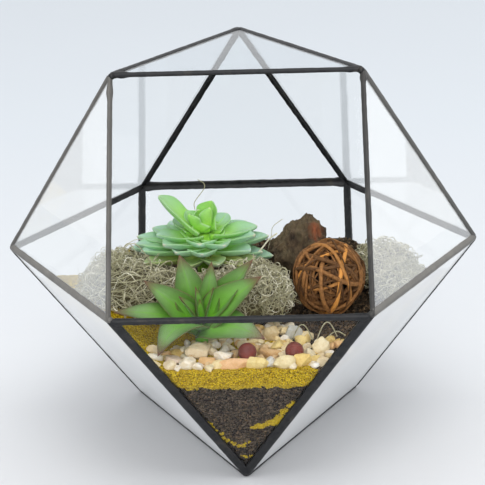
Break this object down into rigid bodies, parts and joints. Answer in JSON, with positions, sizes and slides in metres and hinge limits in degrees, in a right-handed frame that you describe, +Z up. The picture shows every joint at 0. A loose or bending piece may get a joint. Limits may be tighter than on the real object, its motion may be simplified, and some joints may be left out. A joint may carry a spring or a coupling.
{
  "type": "glass plant terrarium",
  "caption": "Faceted leaded-glass terrarium with an open square mouth, planted with succulents, moss, sand, gravel and a vine ball.",
  "frame": {"origin": "centre of the footprint of the whole jar, on the surface it stands on", "axes": "+Z up, +X to the right as seen from the open mouth, -Y out through the mouth"},
  "size_m": [0.243, 0.2107, 0.1988],
  "materials": {
    "bark": "rough dark bark",
    "bead": "turned red-brown bead, satin",
    "echeveria_leaf": "fleshy leaf with a waxy bloom; leather's density stands in for leaf",
    "glass": "clear float glass, 1.6 mm",
    "gravel": "cream, yellow and pinkish natural chips",
    "moss": "dry curly grey-beige moss; fabric's density stands in",
    "pointed_leaf": "fleshy leaf, satin; leather's density stands in for leaf",
    "sand": "dyed yellow coarse sand",
    "soil": "dark crumbly potting soil, damp; a typical mineral density stands in",
    "solder": "copper foil and solder with a black patina, satin",
    "vine": "dry orange-brown vine"
  },
  "bodies": {
    "root": {"bark": "bark", "bead_left": "bead", "bead_right": "bead", "echeveria": "echeveria_leaf", "gravel": "gravel", "moss_left": "moss", "moss_middle": "moss", "moss_right": "moss", "pane_base": "glass", "pane_high_back": "glass", "pane_high_left": "glass", "pane_high_right": "glass", "pane_low_back": "glass", "pane_low_front": "glass", "pane_low_left": "glass", "pane_low_right": "glass", "pane_rear_left": "glass", "pane_rear_right": "glass", "pane_side_left": "glass", "pane_side_right": "glass", "pane_top": "glass", "pointed_succulent": "pointed_leaf", "sand": "sand", "seam_back_foot_left": "solder", "seam_back_foot_right": "solder", "seam_back_left": "solder", "seam_back_right": "solder", "seam_back_waist": "solder", "seam_base_back": "solder", "seam_base_left": "solder", "seam_base_right": "solder", "seam_front_foot_left": "solder", "seam_front_foot_right": "solder", "seam_front_waist_left": "solder", "seam_front_waist_right": "solder", "seam_mouth_left": "solder", "seam_mouth_right": "solder", "seam_mouth_sill": "solder", "seam_mouth_top": "solder", "seam_rear_waist_left": "solder", "seam_rear_waist_right": "solder", "seam_shoulder_left": "solder", "seam_shoulder_right": "solder", "seam_side_foot_left": "solder", "seam_side_foot_right": "solder", "seam_top_left": "solder", "seam_top_right": "solder", "soil": "soil", "vine_ball": "vine"}
  },
  "joints": []
}
